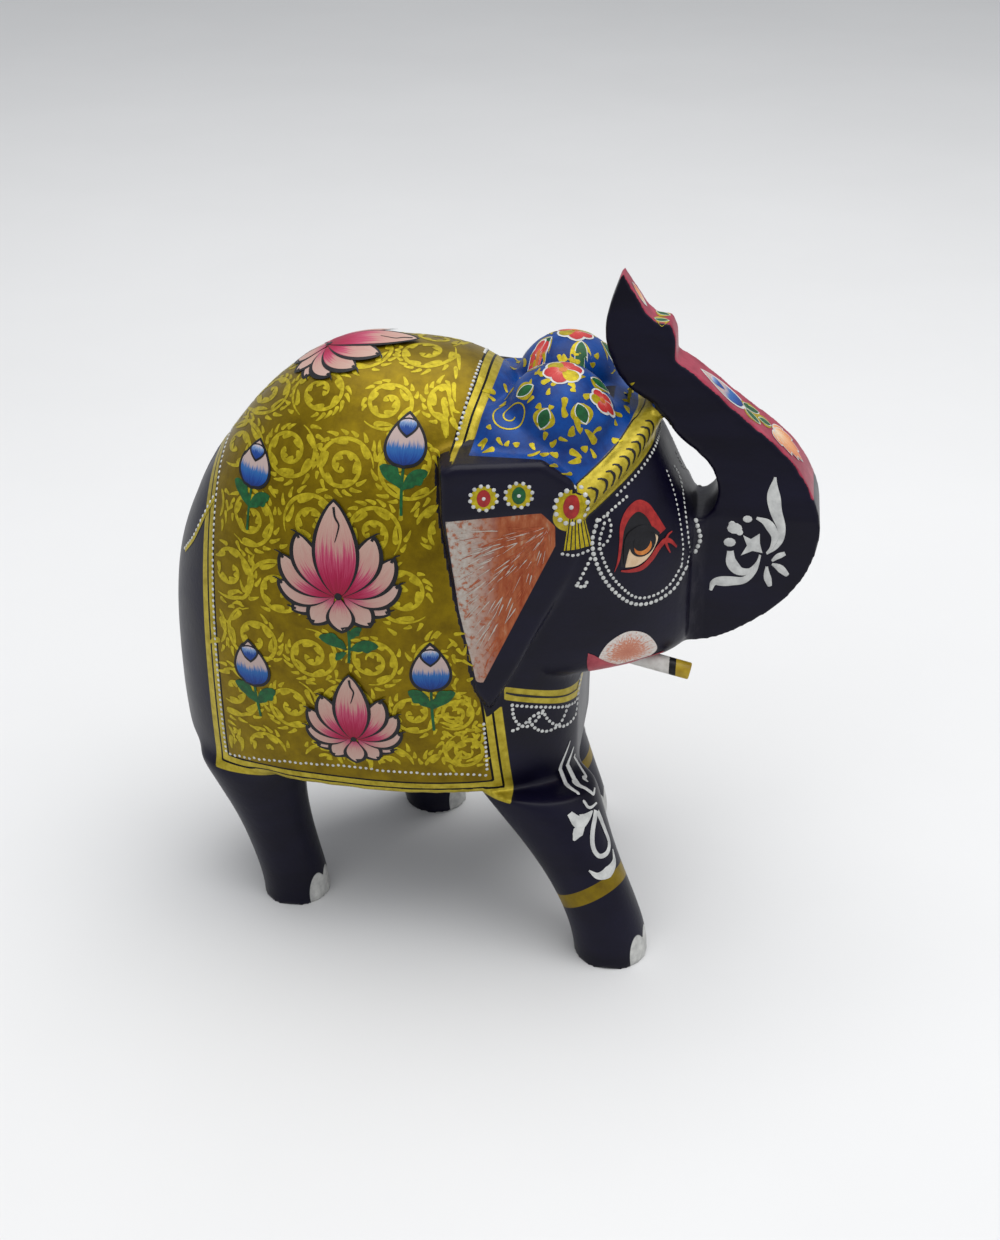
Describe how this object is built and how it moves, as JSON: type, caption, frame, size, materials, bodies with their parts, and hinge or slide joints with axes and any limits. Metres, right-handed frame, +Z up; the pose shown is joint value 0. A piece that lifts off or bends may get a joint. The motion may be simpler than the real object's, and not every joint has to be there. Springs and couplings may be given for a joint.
{
  "type": "wooden elephant figurine",
  "caption": "Free-standing carved and painted wooden elephant with a raised trunk, ears, tusks and a painted saddle cloth, glued and dowelled together.",
  "frame": {"origin": "on the standing surface, under the middle of the overall box", "axes": "+X the way the elephant faces, +Y its left side, +Z up"},
  "size_m": [0.2344, 0.118, 0.247],
  "materials": {
    "painted_body": "satin navy-black paint",
    "painted_trunk": "satin navy-black paint",
    "painted_leg": "satin navy-black paint",
    "painted_tusk": "satin white paint",
    "bare_dowel": "bare wood",
    "gold_paint": "satin gold paint",
    "blue_paint": "satin blue paint",
    "colour_paint": "satin paint",
    "white_paint": "satin white relief paint"
  },
  "bodies": {
    "root": {"body_upper": "painted_body", "body_lower": "painted_body", "trunk": "painted_trunk", "leg_front_right": "painted_leg", "leg_front_left": "painted_leg", "leg_hind_right": "painted_leg", "leg_hind_left": "painted_leg", "tusk_right": "painted_tusk", "tusk_left": "painted_tusk", "dowel_leg_front_right": "bare_dowel", "dowel_leg_front_left": "bare_dowel", "dowel_leg_hind_right": "bare_dowel", "dowel_leg_hind_left": "bare_dowel", "dowel_body_rear": "bare_dowel", "dowel_body_front": "bare_dowel", "dowel_trunk_lower": "bare_dowel", "dowel_trunk_upper": "bare_dowel"}
  },
  "joints": []
}
